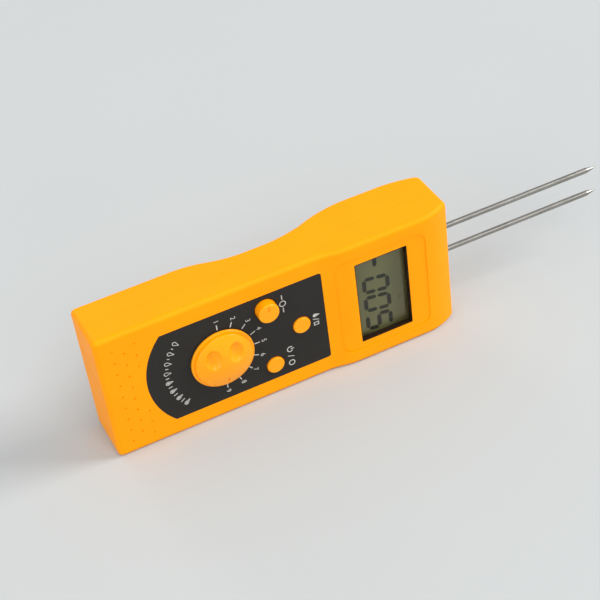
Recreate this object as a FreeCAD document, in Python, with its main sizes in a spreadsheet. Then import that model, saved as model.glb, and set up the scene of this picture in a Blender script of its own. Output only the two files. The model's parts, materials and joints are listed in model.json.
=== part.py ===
"""Handheld two-pin moisture meter, lying on its long narrow side.

Millimetres, +X from the battery end towards the pins, -Y out of the control panel, +Z up.
Sizes are drawn from the corner where x = 0 is the battery end, y = 0 the grip's control
face and z = 0 the resting side. Each sub-part is then placed so that the frame's origin is
the middle of the resting side.
"""
import FreeCAD, Part
import math
import os
import Sketcher
from FreeCAD import Placement, Rotation, Vector

# Driving dimensions of the meter.
DIMENSIONS = {
    "body_length": 160, "body_width": 62.5, "grip_depth": 25.6, "waist_depth": 20.4,
    "head_depth": 29, "head_rise": 2, "wall": 2.2, "panel_wall": 2.4, "split_y": 12,
    "seam_gap": 0.06, "corner_radius": 2.2, "front_rim_radius": 2.1, "rear_rim_radius": 1.1,
    "front_rise_start": 96, "front_rise_length": 16, "front_fall_start": 145, "front_fall_radius": 24,
    "waist_fall_start": 43, "waist_fall_length": 32, "waist_rise_start": 82, "waist_rise_length": 44,
    "head_fall_start": 140, "head_fall_radius": 60, "head_corner_radius": 6.5, "head_corner_inset": 5,
    "past": 1, "part_gap": 0.1, "sink": 0.2,
    "front_ramp_lead": 3, "front_fall_inside_y": 6, "back_corner_drop": 5, "back_corner_inset": 8,
    "back_corner_ease": 1.6, "back_rise_ease": 2.2, "back_ease_length": 18,
    "label_end": 98.9, "label_half_width": 22.8, "label_arc_radius": 33.2,
    "label_thickness": 0.3, "label_corner": 1.2, "label_edge_gap": 0.08,
    "window_start": 113.4, "window_end": 137.9, "window_half_width": 20.9, "lens_overlap": 1.2,
    "lens_front": 1, "lens_thickness": 1.2, "rim_width": 2.6, "gasket_width": 0.3, "gasket_front": -1.6,
    "dish_start": 104.5, "dish_end": 146.7, "dish_half_width": 24.6, "dish_corner": 5,
    "dish_start_y": -0.72, "dish_turn": 112, "dish_floor_y": -1.65, "window_corner": 0.5,
    "dimple_radius": 0.45, "dimple_depth": 0.35, "dimple_pitch": 6.1, "dimple_column": 7.3,
    "dimple_column_step": 4.7, "dimple_first_z": 6.6,
    "knob_x": 51.2, "knob_flange_radius": 14, "knob_flange_thickness": 1, "knob_gap": 0.5,
    "knob_disc_radius": 12.7, "knob_disc_height": 2.6, "knob_height": 5.6, "knob_scoop_offset": 5.5,
    "knob_scoop_rise": 4.4, "knob_scoop_radius": 5.2, "knob_scoop_width": 4.6, "knob_scoop_length": 6.6,
    "knob_scoop_floor": 2.8, "knob_brink_radius": 0.8, "knob_recess_radius": 6.6,
    "knob_recess_depth": 1.1,
    "knob_edge_radius": 0.5, "knob_mark_width": 0.8, "knob_mark_depth": 0.45, "knob_mark_start": 8.6,
    "knob_mark_end": 11.8, "knob_socket_reach": 3.9,
    "shaft_radius": 3, "shaft_clearance": 0.05, "bushing_radius": 3.6, "bushing_hole_radius": 3.8,
    "bushing_reach": 1.4, "nut_thickness": 1.1, "nut_flats": 10,
    "switch_radius": 12, "switch_depth": 8.8, "switch_front": 2.6, "switch_lug_circle": 9.5,
    "switch_floor": 1.2, "switch_lug_width": 1, "switch_lug_length": 3,
    "zero_x": 73, "zero_z": 46.8, "zero_radius": 4.6, "zero_height": 4.1, "zero_hole_radius": 5,
    "zero_stem_radius": 3.2, "zero_skirt": 0.6, "zero_edge_radius": 0.8, "zero_mark_width": 0.7,
    "zero_mark_depth": 0.4, "zero_mark_start": 1.2, "zero_mark_end": 3.6, "trimmer_size": 10,
    "trimmer_depth": 4.4, "trimmer_shaft_radius": 1.6, "trimmer_shaft_start": -1.5,
    "trimmer_bore_depth": 3.4,
    "power_x": 73.5, "power_z": 16, "mode_x": 87.6, "button_radius": 3.85, "button_gap": 0.35,
    "button_proud": 0.8, "button_edge_radius": 0.45, "button_play": 0.3, "button_flange_radius": 5,
    "button_flange_thickness": 0.9,
    "button_back_gap": 0.15, "button_travel": 0.45, "tact_size": 6, "tact_depth": 2.7,
    "plunger_radius": 1.7, "plunger_sink": 1.6, "plunger_clearance": 0.06,
    "board_start": 66, "board_end": 148, "board_margin": 4, "board_front": 7, "board_thickness": 1.6,
    "board_screw_start": 69.5, "board_screw_end": 144.6, "board_screw_margin": 7.5,
    "board_corner": 1.5, "post_radius": 2.5, "board_screw_radius": 1.1, "board_screw_head_radius": 2,
    "board_screw_head": 1.3, "board_screw_depth": 4, "board_screw_play": 0.15, "screw_end_gap": 0.4,
    "screw_slot_width": 0.5, "screw_slot_reach": 0.6,
    "chip_start": 100, "chip_size": 14, "chip_depth": 1.6, "small_part_start": 88,
    "small_part_pitch": 3.4, "small_part_row_pitch": 6, "small_part_length": 2,
    "small_part_width": 1.3, "small_part_depth": 0.7,
    "can_start": 118, "can_pitch": 7.5, "can_rise": 15, "can_radius": 2.6, "can_length": 6.5,
    "lcd_thickness": 2.7, "lcd_margin": 1.2, "lcd_frame_wall": 1.3, "zebra_width": 1.8,
    "zebra_inset": 0.4, "zebra_end_gap": 1,
    "case_screw_start": 38, "case_screw_end": 153, "case_screw_margin": 5.6, "boss_radius": 3.5,
    "boss_front": 1.6, "grip_boss_back": 24, "head_boss_back": 25.8,
    "case_screw_radius": 1.4, "case_screw_head_radius": 2.3, "case_screw_head": 1.8,
    "case_screw_seat": 14, "case_screw_depth": 9, "counterbore_radius": 2.6,
    "door_length": 33, "door_half_width": 25, "door_gap": 0.1, "rail_reach": 1.9, "rail_length": 30.5,
    "rail_thickness": 1.5, "rail_root": 1, "tongue_reach": 2.4, "tongue_half_width": 16,
    "tongue_root": 3, "door_ridge_start": 9, "door_ridge_pitch": 2.2, "door_ridge_half_width": 9,
    "door_ridge_depth": 0.5, "partition_x": 31.2, "partition_thickness": 1.4,
    "battery_start": 3.6, "battery_across": 26.5, "battery_front": 4.2, "battery_thickness": 17.5,
    "battery_bottom": 2.8, "battery_height": 46.5, "battery_corner": 1.8, "stud_pitch": 12.9,
    "stud_radius": 2.9,
    "cup_flats": 6.8, "stud_height": 2.4, "snap_thickness": 2.4, "snap_across": 24.5,
    "snap_half_depth": 6,
    "snap_entry_across": 1.4, "snap_entry_half_depth": 1.1, "snap_entry_gap": 0.3,
    "foam_thickness": 1.4, "foam_length": 20, "foam_inset": 2,
    "wire_radius": 0.5, "wire_y": 16.6, "wire_pitch": 1.9, "wire_top_gap": 10, "wire_pass_low": 3,
    "red_wire_end": 80, "black_wire_end": 76,
    "pin_radius": 1.25, "pin_pitch": 12.6, "pin_y": 17.5, "pin_tip_x": 244.5, "pin_cone": 5.5,
    "pin_start": 141.5, "pin_hole_radius": 1.8, "pin_shank_radius": 1.7,
    "pin_shank_end": 160.4, "pin_shoulder_end": 161, "probe_block_start": 149.5,
    "probe_block_end": 157.6,
    "probe_block_half_width": 13, "probe_block_half_depth": 4, "probe_collar_radius": 2.6,
    "probe_collar_thickness": 2, "probe_nut_flats": 5.5, "probe_nut_thickness": 2.2,
    "lug_thickness": 0.8, "lug_radius": 2.9, "lug_length": 7, "lug_half_width": 1.2,
    "lug_wire_inset": 1.9, "probe_wire_radius": 0.6,
    "probe_wire_end": 130,
}
NAMES = list(DIMENSIONS)
SWITCH_LUGS = 10
BATTERY_DOOR_RIDGES = 6
SETBACK_SHARE = 0.45
VOLUME_TOLERANCE = 0.01
SMALL_PART_ROWS = 5
SMALL_PART_COLUMNS = 3
CAPACITORS = 2

doc = FreeCAD.newDocument("MoistureMeter")
sheet = doc.addObject("Spreadsheet::Sheet", "Sizes")
for row, alias in enumerate(NAMES, start=1):
    sheet.set(f"A{row}", alias.replace("_", " "))
    sheet.set(f"B{row}", str(DIMENSIONS[alias]))
    sheet.setAlias(f"B{row}", alias)
doc.recompute()

nodes = []


class Size:
    """A length made from sheet cells: its present value, and the expression that stays bound."""

    def __init__(self, value, text):
        self.value = value
        self.text = text

    def __add__(self, other):
        other = as_size(other)
        return Size(self.value + other.value, f"({self.text} + {other.text})")

    def __sub__(self, other):
        other = as_size(other)
        return Size(self.value - other.value, f"({self.text} - {other.text})")

    def __mul__(self, other):
        other = as_size(other)
        return Size(self.value * other.value, f"({self.text} * {other.text})")

    def __truediv__(self, other):
        other = as_size(other)
        return Size(self.value / other.value, f"({self.text} / {other.text})")

    def __neg__(self):
        return Size(-self.value, f"(-1 * {self.text})")


def as_size(value):
    return value if isinstance(value, Size) else Size(float(value), f"{value:.9g}")


def cell(alias):
    return Size(float(sheet.get(alias)), f"Sizes.{alias}")


def root(size):
    return Size(math.sqrt(size.value), f"sqrt({size.text})")


def bind(item, name, size):
    item.setExpression(name, as_size(size).text)


# ---------------------------------------------------------------- derived sizes
LENGTH = cell("body_length")
WIDTH = cell("body_width")
MIDDLE = WIDTH / 2
WALL = cell("wall")
PAST = cell("past")
SPLIT = cell("split_y")
ORIGIN = (LENGTH / 2, cell("grip_depth") / 2, Size(0, "0"))
REAR_START = SPLIT + cell("seam_gap")
HEAD_FRONT = -cell("head_rise")
PANEL_INSIDE = cell("panel_wall")
HEAD_INSIDE = PANEL_INSIDE - cell("head_rise")
BOARD_FRONT = cell("board_front")
BOARD_BACK = BOARD_FRONT + cell("board_thickness")
GAP = cell("part_gap")
SINK = cell("sink")
POST_FRONT = HEAD_INSIDE - GAP
PIN_OFFSETS = (-cell("pin_pitch") / 2, cell("pin_pitch") / 2)
CASE_SCREWS = [(cell("case_screw_start"), cell("case_screw_margin")),
               (cell("case_screw_start"), WIDTH - cell("case_screw_margin")),
               (cell("case_screw_end"), cell("case_screw_margin")),
               (cell("case_screw_end"), WIDTH - cell("case_screw_margin"))]
BOARD_SCREWS = [(cell("board_screw_start"), cell("board_screw_margin")),
                (cell("board_screw_start"), WIDTH - cell("board_screw_margin")),
                (cell("board_screw_end"), cell("board_screw_margin")),
                (cell("board_screw_end"), WIDTH - cell("board_screw_margin"))]


# ---------------------------------------------------------------- modelling helpers
def new_body(name):
    body = doc.addObject("PartDesign::Body", name)
    body.Label = name
    nodes.append(body)
    return body


def new_sketch(body, name, role, offset=0):
    """A sketch on one of the body's origin planes, moved along the plane's normal."""
    sketch = body.newObject("Sketcher::SketchObject", f"{body.Label}_{name}")
    plane = next(item for item in body.Origin.OriginFeatures if item.Role == role)
    sketch.AttachmentSupport = [(plane, "")]
    sketch.MapMode = "FlatFace"
    bind(sketch, "AttachmentOffset.Base.z", offset)
    return sketch


def panel_sketch(body, name, y):
    """A sketch seen from the front, at depth y: its X is +X and its Y is +Z."""
    return new_sketch(body, name, "XZ_Plane", -as_size(y))


def hold_point(sketch, geometry, position, x, y):
    """Fix a vertex at two bound distances from the sketch's origin."""
    for kind, size in (("DistanceX", x), ("DistanceY", y)):
        index = sketch.addConstraint(Sketcher.Constraint(kind, -1, 1, geometry, position, size.value))
        bind(sketch, f"Constraints[{index}]", size)


def hold_radius(sketch, geometry, radius):
    index = sketch.addConstraint(Sketcher.Constraint("Radius", geometry, radius.value))
    bind(sketch, f"Constraints[{index}]", radius)


def circle(sketch, x, y, radius):
    x, y, radius = as_size(x), as_size(y), as_size(radius)
    shape = Part.Circle(Vector(x.value, y.value, 0), Vector(0, 0, 1), radius.value)
    geometry = sketch.addGeometry(shape, False)
    hold_point(sketch, geometry, 3, x, y)
    hold_radius(sketch, geometry, radius)


def arc_between(start, end, radius):
    """An arc under half a turn: it turns left for a positive radius, right for a negative one."""
    chord = end - start
    side = Vector(-chord.y, chord.x, 0).normalize()
    if radius < 0:
        side = side * -1
    reach = math.sqrt(max(radius ** 2 - (chord.Length / 2) ** 2, 0))
    centre = start + chord * 0.5 + side * reach
    return Part.Arc(start, centre - side * abs(radius), end)


def outline(sketch, corners):
    """A closed loop through corners (x, y), or (x, y, radius) where an arc leads to the corner."""
    corners = [tuple(as_size(item) for item in corner) for corner in corners]
    points = [Vector(corner[0].value, corner[1].value, 0) for corner in corners]
    ends = []
    for index, corner in enumerate(corners):
        start, end = points[index - 1], points[index]
        if len(corner) == 2:
            geometry = sketch.addGeometry(Part.LineSegment(start, end), False)
        else:
            geometry = sketch.addGeometry(arc_between(start, end, corner[2].value), False)
        swapped = sketch.getPoint(geometry, 1).distanceToPoint(start) > 1e-6
        ends.append((geometry, 2 if swapped else 1, 1 if swapped else 2))
    for index, corner in enumerate(corners):
        geometry, _, end_position = ends[index]
        following, start_position, _ = ends[(index + 1) % len(ends)]
        sketch.addConstraint(Sketcher.Constraint("Coincident", geometry, end_position,
                                                 following, start_position))
        hold_point(sketch, geometry, end_position, corner[0], corner[1])
        if len(corner) == 3:
            size = corner[2] if corner[2].value > 0 else -corner[2]
            hold_radius(sketch, geometry, size)


def rectangle(sketch, x_low, y_low, x_high, y_high):
    outline(sketch, [(x_low, y_low), (x_high, y_low), (x_high, y_high), (x_low, y_high)])


def rounded_rectangle(sketch, x_low, y_low, x_high, y_high, radius):
    x_low, y_low, x_high, y_high, r = (as_size(item) for item in (x_low, y_low, x_high, y_high, radius))
    outline(sketch, [(x_high - r, y_low), (x_high, y_low + r, r), (x_high, y_high - r),
                     (x_high - r, y_high, r), (x_low + r, y_high), (x_low, y_high - r, r),
                     (x_low, y_low + r), (x_low + r, y_low, r)])


def feature(body, kind, sketch, length, reverse=False):
    """A Pad or Pocket of a sketch, checked against the body's volume before it."""
    before = body.Shape.Volume if body.Tip and not body.Shape.isNull() else 0
    item = body.newObject(f"PartDesign::{kind}", f"{sketch.Label}_{kind}")
    item.Profile = sketch
    item.Reversed = reverse
    bind(item, "Length", length)
    doc.recompute()
    change = item.Shape.Volume - before
    if (change <= 0) == (kind == "Pad"):
        raise RuntimeError(f"{item.Label} points the wrong way")
    return item


def pad(body, sketch, length, reverse=False):
    return feature(body, "Pad", sketch, length, reverse)


def pocket(body, sketch, length, reverse=False):
    return feature(body, "Pocket", sketch, length, reverse)


def dress(body, kind, prop, edges, size):
    item = body.newObject(f"PartDesign::{kind}", f"{body.Label}_{kind}")
    item.Base = (body.Group[-2], edges)
    bind(item, prop, size)
    doc.recompute()
    return item


def turn(body, sketch, start, end):
    """A full revolution of a sketch about a line between two of its points."""
    points = [Vector(as_size(x).value, as_size(y).value, 0) for x, y in (start, end)]
    line = sketch.addGeometry(Part.LineSegment(*points), True)
    hold_point(sketch, line, 1, *(as_size(item) for item in start))
    hold_point(sketch, line, 2, *(as_size(item) for item in end))
    item = body.newObject("PartDesign::Revolution", f"{body.Label}_turned")
    item.Profile = sketch
    item.ReferenceAxis = (sketch, ["Axis0"])
    item.Angle = 360
    doc.recompute()
    return item


def edges_where(shape, test):
    """Names of the edges whose middle point and direction there pass the test."""
    names = []
    for index, edge in enumerate(shape.Edges, start=1):
        middle = (edge.FirstParameter + edge.LastParameter) / 2
        if not edge.Degenerated and test(edge.valueAt(middle), edge.tangentAt(middle)):
            names.append(f"Edge{index}")
    return names


def near(value, size, within=0.01):
    return abs(value - as_size(size).value) < within


def place(item, corner):
    """Bind an object's position to a point given from the drawing corner."""
    for axis, start, origin in zip("xyz", corner, ORIGIN):
        bind(item, f"Placement.Base.{axis}", as_size(start) - origin)


def box(name, low, high):
    item = doc.addObject("Part::Box", name)
    for prop, start, end in zip(("Length", "Width", "Height"), low, high):
        bind(item, prop, as_size(end) - start)
    place(item, low)
    return item


AXES = {"x": Rotation(Vector(0, 1, 0), 90), "y": Rotation(Vector(1, 0, 0), -90), "z": Rotation()}


def rod(name, axis, start, radius, length):
    """A cylinder from a start point along an axis."""
    item = doc.addObject("Part::Cylinder", name)
    item.Placement = Placement(Vector(), AXES[axis])
    place(item, start)
    bind(item, "Height", length)
    bind(item, "Radius", radius)
    return item


def hexagon(name, axis, start, flats, length):
    item = doc.addObject("Part::Prism", name)
    item.Placement = Placement(Vector(), AXES[axis])
    item.Polygon = 6
    place(item, start)
    bind(item, "Circumradius", as_size(flats) / math.sqrt(3))
    bind(item, "Height", length)
    return item


def fuse(name, parts):
    item = doc.addObject("Part::MultiFuse", name)
    item.Shapes = parts
    return item


def cut(name, base, tools):
    """The base without the tools, which are first joined when there are several."""
    item = doc.addObject("Part::Cut", name)
    item.Base = base
    item.Tool = tools[0] if len(tools) == 1 else fuse(f"{name}_tools", tools)
    return item


def several(name, parts):
    item = doc.addObject("Part::Compound", name)
    item.Links = parts
    return item


def node(item, label):
    item.Label = label
    nodes.append(item)
    return item


# ---------------------------------------------------------------- case shells
def rise(corners, x_start, y_start, run, step, turn):
    """Add an S-shaped rise of two equal tangent arcs that starts and ends level."""
    radius = (run * run + step * step) / (step * 4)
    way = 1 if turn > 0 else -1
    corners.append((x_start + run / 2, y_start + step / 2 * way, radius * turn))
    corners.append((x_start + run, y_start + step * way, radius * -turn))


def case_block(body, y_base, y_outside, away):
    """A slab with rounded upright corners between two depths."""
    sketch = panel_sketch(body, "plan", y_base)
    rounded_rectangle(sketch, 0, 0, LENGTH, WIDTH, cell("corner_radius"))
    pad(body, sketch, as_size(y_outside - y_base) * away, reverse=away > 0)


def rim_edges(body, y_seam):
    """The loop where the outer face meets the sides, without the seam."""
    radius = DIMENSIONS["corner_radius"]

    def on_rim(point, direction):
        on_side = near(point.z, 0) or near(point.z, WIDTH) or near(point.x, 0) or near(point.x, LENGTH)
        in_corner_x = point.x < radius or point.x > LENGTH.value - radius
        in_corner_z = point.z < radius or point.z > WIDTH.value - radius
        along_depth = abs(direction.y) > 0.99
        return (on_side or in_corner_x and in_corner_z) and not along_depth and not near(point.y, y_seam)
    return edges_where(body.Shape, on_rim)


def side_cut(body, name, corners):
    """Cut an outline drawn on the side view right across the width."""
    sketch = new_sketch(body, name, "XY_Plane", -PAST)
    outline(sketch, corners)
    pocket(body, sketch, WIDTH + PAST * 2, reverse=True)


def side_cavity(body, corners):
    """Hollow the body with an outline drawn on the side view, leaving both side walls."""
    sketch = new_sketch(body, "cavity", "XY_Plane", WALL)
    outline(sketch, corners)
    pocket(body, sketch, WIDTH - WALL * 2, reverse=True)


def front_profile():
    """The control face seen from the side: grip, gentle rise to the display head, falling end."""
    start = cell("front_rise_start")
    fall_start = cell("front_fall_start")
    fall_radius = cell("front_fall_radius")
    run = LENGTH - fall_start
    end_y = HEAD_FRONT + fall_radius - root(fall_radius * fall_radius - run * run)
    corners = [(-PAST, 0), (start, 0)]
    rise(corners, start, as_size(0), cell("front_rise_length"), cell("head_rise"), -1)
    corners += [(fall_start, HEAD_FRONT), (LENGTH, end_y, fall_radius), (LENGTH + PAST, end_y),
                (LENGTH + PAST, HEAD_FRONT - PAST), (-PAST, HEAD_FRONT - PAST)]
    return corners


def rear_profile():
    """The back seen from the side: thick battery end, waist for the fingers, deep head."""
    grip = cell("grip_depth")
    waist = cell("waist_depth")
    head = cell("head_depth")
    fall_start = cell("waist_fall_start")
    rise_start = cell("waist_rise_start")
    rise_end = rise_start + cell("waist_rise_length")
    big = cell("head_fall_radius")
    small = cell("head_corner_radius")
    inset = cell("head_corner_inset")
    reach = LENGTH - inset - cell("head_fall_start")
    drop = root((big - small) * (big - small) - reach * reach)
    centre_y = head - big + drop
    meet_x = cell("head_fall_start") + reach * big / (big - small)
    meet_y = head - big + drop * big / (big - small)
    end_y = centre_y + root(small * small - inset * inset)
    corners = [(-PAST, grip), (fall_start, grip)]
    rise(corners, fall_start, grip, cell("waist_fall_length"), grip - waist, -1)
    corners.append((rise_start, waist))
    rise(corners, rise_start, waist, rise_end - rise_start, head - waist, 1)
    corners += [(cell("head_fall_start"), head), (meet_x, meet_y, -big), (LENGTH, end_y, -small),
                (LENGTH + PAST, end_y), (LENGTH + PAST, head + PAST), (-PAST, head + PAST)]
    return corners


def label_outline(inset):
    """The panel label: straight sides, square end, and an end that is round about the knob."""
    half = cell("label_half_width") - inset
    radius = cell("label_arc_radius") - inset
    corner = cell("label_corner")
    end = cell("label_end") - inset
    turn_x = cell("knob_x") - root(radius * radius - half * half)
    return [(end - corner, MIDDLE - half), (end, MIDDLE - half + corner, corner),
            (end, MIDDLE + half - corner), (end - corner, MIDDLE + half, corner),
            (turn_x, MIDDLE + half), (turn_x, MIDDLE - half, radius)]


def control_holes(sketch):
    circle(sketch, cell("knob_x"), MIDDLE, cell("bushing_hole_radius"))
    circle(sketch, cell("zero_x"), cell("zero_z"), cell("zero_hole_radius"))
    for x, z in ((cell("power_x"), cell("power_z")), (cell("mode_x"), MIDDLE)):
        circle(sketch, x, z, cell("button_radius") + cell("button_gap"))


def screw_circles(sketch, places, radius):
    for x, z in places:
        circle(sketch, x, z, radius)


def dimples(sketch):
    """A corner field of grip dimples: two full staggered columns and a broken third one."""
    pitch = cell("dimple_pitch")
    first = cell("dimple_first_z")
    columns = ((0, 0, range(9)), (1, 0.5, range(8)), (2, 0, (0, 1, 2, 6, 7, 8)))
    for column, shift, rows in columns:
        x = cell("dimple_column") + cell("dimple_column_step") * column
        for row in rows:
            circle(sketch, x, first + pitch * (row + shift), cell("dimple_radius"))


def make_front_case():
    body = new_body("front_case")
    case_block(body, SPLIT, HEAD_FRONT, -1)
    side_cut(body, "profile", front_profile())
    dress(body, "Fillet", "Radius", rim_edges(body, SPLIT), cell("front_rim_radius"))
    rise_end = cell("front_rise_start") + cell("front_rise_length")
    side_cavity(body, [(WALL, PANEL_INSIDE),
                       (cell("front_rise_start") - cell("front_ramp_lead"), PANEL_INSIDE),
                       (rise_end, HEAD_INSIDE), (cell("front_fall_start"), HEAD_INSIDE),
                       (LENGTH - WALL, cell("front_fall_inside_y")), (LENGTH - WALL, SPLIT + PAST),
                       (WALL, SPLIT + PAST)])
    bosses = panel_sketch(body, "bosses", SPLIT)
    screw_circles(bosses, CASE_SCREWS, cell("boss_radius"))
    pad(body, bosses, SPLIT - cell("boss_front"))
    posts = panel_sketch(body, "posts", BOARD_FRONT)
    screw_circles(posts, BOARD_SCREWS, cell("post_radius"))
    pad(body, posts, BOARD_FRONT - POST_FRONT)
    pilots = panel_sketch(body, "pilots", SPLIT - cell("case_screw_depth"))
    screw_circles(pilots, CASE_SCREWS, cell("case_screw_radius"))
    pocket(body, pilots, SPLIT)
    post_pilots = panel_sketch(body, "post_pilots", BOARD_FRONT - cell("board_screw_depth"))
    screw_circles(post_pilots, BOARD_SCREWS, cell("board_screw_radius"))
    pocket(body, post_pilots, BOARD_FRONT)
    make_window(body)
    recess = panel_sketch(body, "label_recess", cell("label_thickness"))
    outline(recess, label_outline(as_size(0)))
    pocket(body, recess, PAST, reverse=True)
    holes = panel_sketch(body, "holes", -PAST)
    control_holes(holes)
    pocket(body, holes, PANEL_INSIDE + PAST * 2)
    field = panel_sketch(body, "dimple_field", cell("dimple_depth"))
    dimples(field)
    pocket(body, field, PAST, reverse=True)


def make_window(body):
    """The display opening: a shallow dish outside, and a stiff rim with a seat for the lens inside."""
    x_low = cell("window_start")
    x_high = cell("window_end")
    half = cell("window_half_width")
    lens = cell("lens_overlap")
    rim = cell("rim_width")
    rim_back = cell("lens_front") + cell("lens_thickness")
    stiffener = panel_sketch(body, "window_rim", rim_back)
    rectangle(stiffener, x_low - rim, MIDDLE - half - rim, x_high + rim, MIDDLE + half + rim)
    pad(body, stiffener, rim_back - POST_FRONT)
    seat = panel_sketch(body, "lens_seat", cell("lens_front"))
    rectangle(seat, x_low - lens, MIDDLE - half - lens, x_high + lens, MIDDLE + half + lens)
    pocket(body, seat, SPLIT)
    opening = panel_sketch(body, "window", HEAD_FRONT - PAST)
    rounded_rectangle(opening, x_low, MIDDLE - half, x_high, MIDDLE + half, cell("window_corner"))
    pocket(body, opening, SPLIT)
    make_dish(body)


def make_dish(body):
    """A step round the display: level beside it, and sloping with the face where the head rises."""
    start, turn_x, end = cell("dish_start"), cell("dish_turn"), cell("dish_end")
    half = cell("dish_half_width")
    corner = cell("dish_corner")
    floor = cell("dish_floor_y")
    level = panel_sketch(body, "dish_level", floor)
    outline(level, [(turn_x - GAP, MIDDLE - half), (end - corner, MIDDLE - half),
                    (end, MIDDLE - half + corner, corner), (end, MIDDLE + half - corner),
                    (end - corner, MIDDLE + half, corner), (turn_x - GAP, MIDDLE + half)])
    pocket(body, level, PAST, reverse=True)
    drop_y = floor - cell("dish_start_y")
    run = turn_x - start
    slope = math.degrees(math.atan2(drop_y.value, run.value))
    length = root(run * run + drop_y * drop_y)
    slanted = panel_sketch(body, "dish_slope", cell("dish_start_y"))
    slanted.AttachmentOffset = Placement(Vector(), Rotation(Vector(0, 1, 0), slope))
    bind(slanted, "AttachmentOffset.Base.x", start)
    bind(slanted, "AttachmentOffset.Base.z", -cell("dish_start_y"))
    outline(slanted, [(length, MIDDLE - half), (length, MIDDLE + half), (corner, MIDDLE + half),
                      (0, MIDDLE + half - corner, corner), (0, MIDDLE - half + corner),
                      (corner, MIDDLE - half, corner)])
    pocket(body, slanted, PAST, reverse=True)


def make_rear_case():
    body = new_body("rear_case")
    case_block(body, REAR_START, cell("head_depth"), 1)
    side_cut(body, "profile", rear_profile())
    dress(body, "Fillet", "Radius", rim_edges(body, REAR_START), cell("rear_rim_radius"))
    grip_inside = cell("grip_depth") - WALL
    waist_inside = cell("waist_depth") - WALL
    head_inside = cell("head_depth") - WALL - SINK
    fall_start = cell("waist_fall_start")
    rise_start = cell("waist_rise_start")
    rise_end = rise_start + cell("waist_rise_length")
    fall_end = fall_start + cell("waist_fall_length")
    ease = cell("back_ease_length")
    side_cavity(body, [(WALL, REAR_START - PAST), (LENGTH - WALL, REAR_START - PAST),
                       (LENGTH - WALL, head_inside - cell("back_corner_drop")),
                       (LENGTH - cell("back_corner_inset"), head_inside - cell("back_corner_ease")),
                       (cell("head_fall_start"), head_inside), (rise_end - PAST, head_inside),
                       (rise_start + ease, waist_inside + cell("back_rise_ease")),
                       (rise_start, waist_inside), (fall_end, waist_inside),
                       (fall_start + ease, waist_inside + cell("back_corner_ease")),
                       (fall_start - PAST, grip_inside), (WALL, grip_inside)])
    for label, places, back in (("grip", CASE_SCREWS[:2], cell("grip_boss_back")),
                                ("head", CASE_SCREWS[2:], cell("head_boss_back"))):
        bosses = panel_sketch(body, f"{label}_bosses", REAR_START)
        screw_circles(bosses, places, cell("boss_radius"))
        pad(body, bosses, back - REAR_START, reverse=True)
    shanks = panel_sketch(body, "shanks", SPLIT)
    screw_circles(shanks, CASE_SCREWS, cell("case_screw_radius") + GAP)
    pocket(body, shanks, SPLIT * 2)
    seats = panel_sketch(body, "counterbores", cell("case_screw_seat"))
    screw_circles(seats, CASE_SCREWS, cell("counterbore_radius"))
    pocket(body, seats, cell("head_depth"))
    make_battery_opening(body, grip_inside)
    end_holes = new_sketch(body, "pin_holes", "YZ_Plane", LENGTH + PAST)
    for offset in PIN_OFFSETS:
        circle(end_holes, cell("pin_y"), MIDDLE + offset, cell("pin_hole_radius"))
    pocket(body, end_holes, WALL + PAST * 2)


def make_battery_opening(body, grip_inside):
    """The door opening, the slot that its rails slide in, and the wall beside the battery."""
    gap = cell("door_gap")
    half = cell("door_half_width") + gap
    opening = panel_sketch(body, "door_opening", grip_inside - gap)
    rectangle(opening, -PAST, MIDDLE - half, cell("door_length") + gap, MIDDLE + half)
    pocket(body, opening, WALL * 2)
    slot_half = half + cell("rail_reach")
    slot = panel_sketch(body, "rail_slot", grip_inside - gap * 2 - cell("rail_thickness"))
    rectangle(slot, -PAST, MIDDLE - slot_half, WALL + gap, MIDDLE + slot_half)
    pocket(body, slot, cell("rail_thickness") + gap * 2)
    start = cell("partition_x")
    end = start + cell("partition_thickness")
    partition = panel_sketch(body, "partition", REAR_START)
    rectangle(partition, start, WALL - SINK, end, WIDTH - WALL + SINK)
    pad(body, partition, grip_inside - cell("rail_thickness") - SINK * 2 - REAR_START, reverse=True)
    pass_through = new_sketch(body, "wire_pass", "YZ_Plane", start - PAST)
    wire_z = WIDTH - cell("wire_top_gap")
    rectangle(pass_through, cell("wire_y") - PAST, wire_z - cell("wire_pass_low"),
              cell("wire_y") + PAST, wire_z + PAST)
    pocket(body, pass_through, cell("partition_thickness") + PAST * 2, reverse=True)


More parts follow.
